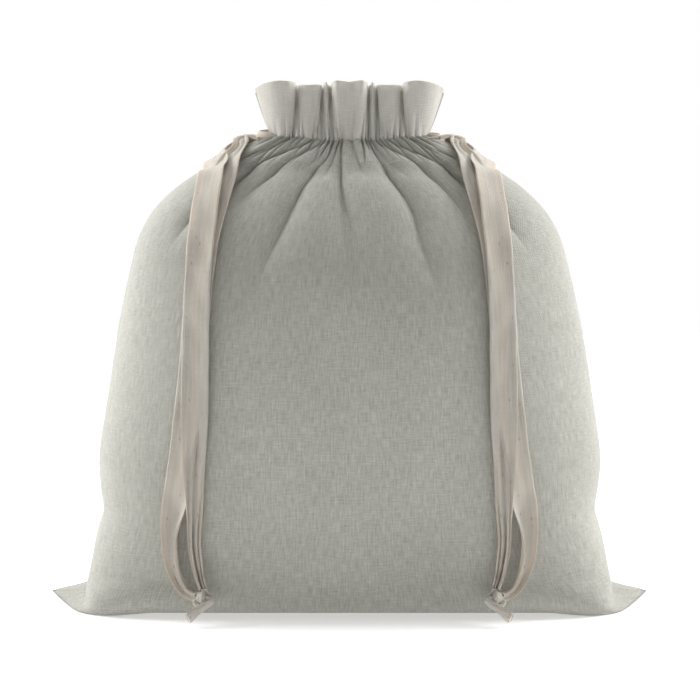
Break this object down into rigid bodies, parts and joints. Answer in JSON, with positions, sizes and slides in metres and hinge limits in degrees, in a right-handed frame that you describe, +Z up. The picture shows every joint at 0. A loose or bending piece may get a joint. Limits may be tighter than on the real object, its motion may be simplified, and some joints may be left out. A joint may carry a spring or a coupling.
{
  "type": "drawstring pouch",
  "caption": "Soft cotton pouch with a double drawstring, standing filled, its neck drawn shut under a short frill.",
  "frame": {"origin": "on the surface that the pouch stands on, under the middle of it", "axes": "+X across the pouch to its right as seen from the front, -Y out of the front, +Z up"},
  "size_m": [0.2, 0.1005, 0.1716],
  "materials": {
    "cotton_cloth": "plain-weave unbleached cotton, matt",
    "cotton_tape": "flat woven cotton tape, matt",
    "sewing_thread": "cotton sewing thread"
  },
  "bodies": {
    "pouch": {"front_panel": "cotton_cloth", "back_panel": "cotton_cloth", "front_casing": "cotton_cloth", "back_casing": "cotton_cloth", "front_upper_stitching": "sewing_thread", "front_lower_stitching": "sewing_thread", "back_upper_stitching": "sewing_thread", "back_lower_stitching": "sewing_thread", "left_seam_overlock": "sewing_thread", "right_seam_overlock": "sewing_thread", "bottom_seam_overlock": "sewing_thread"},
    "front_lip": {"front_frill": "cotton_cloth"},
    "back_lip": {"back_frill": "cotton_cloth"},
    "left_drawstring": {"left_tape_in_casings": "cotton_tape"},
    "left_loop": {"left_back_strand": "cotton_tape", "left_front_strand": "cotton_tape", "left_knot": "cotton_tape"},
    "right_drawstring": {"right_tape_in_casings": "cotton_tape"},
    "right_loop": {"right_back_strand": "cotton_tape", "right_front_strand": "cotton_tape", "right_knot": "cotton_tape"}
  },
  "joints": [
    {"name": "front_lip_fold", "type": "hinge", "parent": "pouch", "child": "front_lip", "pos_m": [0, -0.0099, 0.1562], "axis": [1, 0, 0], "range_deg": [0, 60]},
    {"name": "back_lip_fold", "type": "hinge", "parent": "pouch", "child": "back_lip", "pos_m": [0, 0.0099, 0.1562], "axis": [-1, 0, 0], "range_deg": [0, 60]},
    {"name": "left_drawstring_pull", "type": "slide", "parent": "pouch", "child": "left_drawstring", "axis": [-1, 0, 0], "range_m": [0, 0.006]},
    {"name": "left_loop_swing", "type": "hinge", "parent": "left_drawstring", "child": "left_loop", "pos_m": [-0.0375, 0, 0.153], "axis": [0, 1, 0], "range_deg": [0, 75]},
    {"name": "right_drawstring_pull", "type": "slide", "parent": "pouch", "child": "right_drawstring", "axis": [1, 0, 0], "range_m": [0, 0.006]},
    {"name": "right_loop_swing", "type": "hinge", "parent": "right_drawstring", "child": "right_loop", "pos_m": [0.0375, 0, 0.153], "axis": [0, -1, 0], "range_deg": [0, 75]}
  ]
}
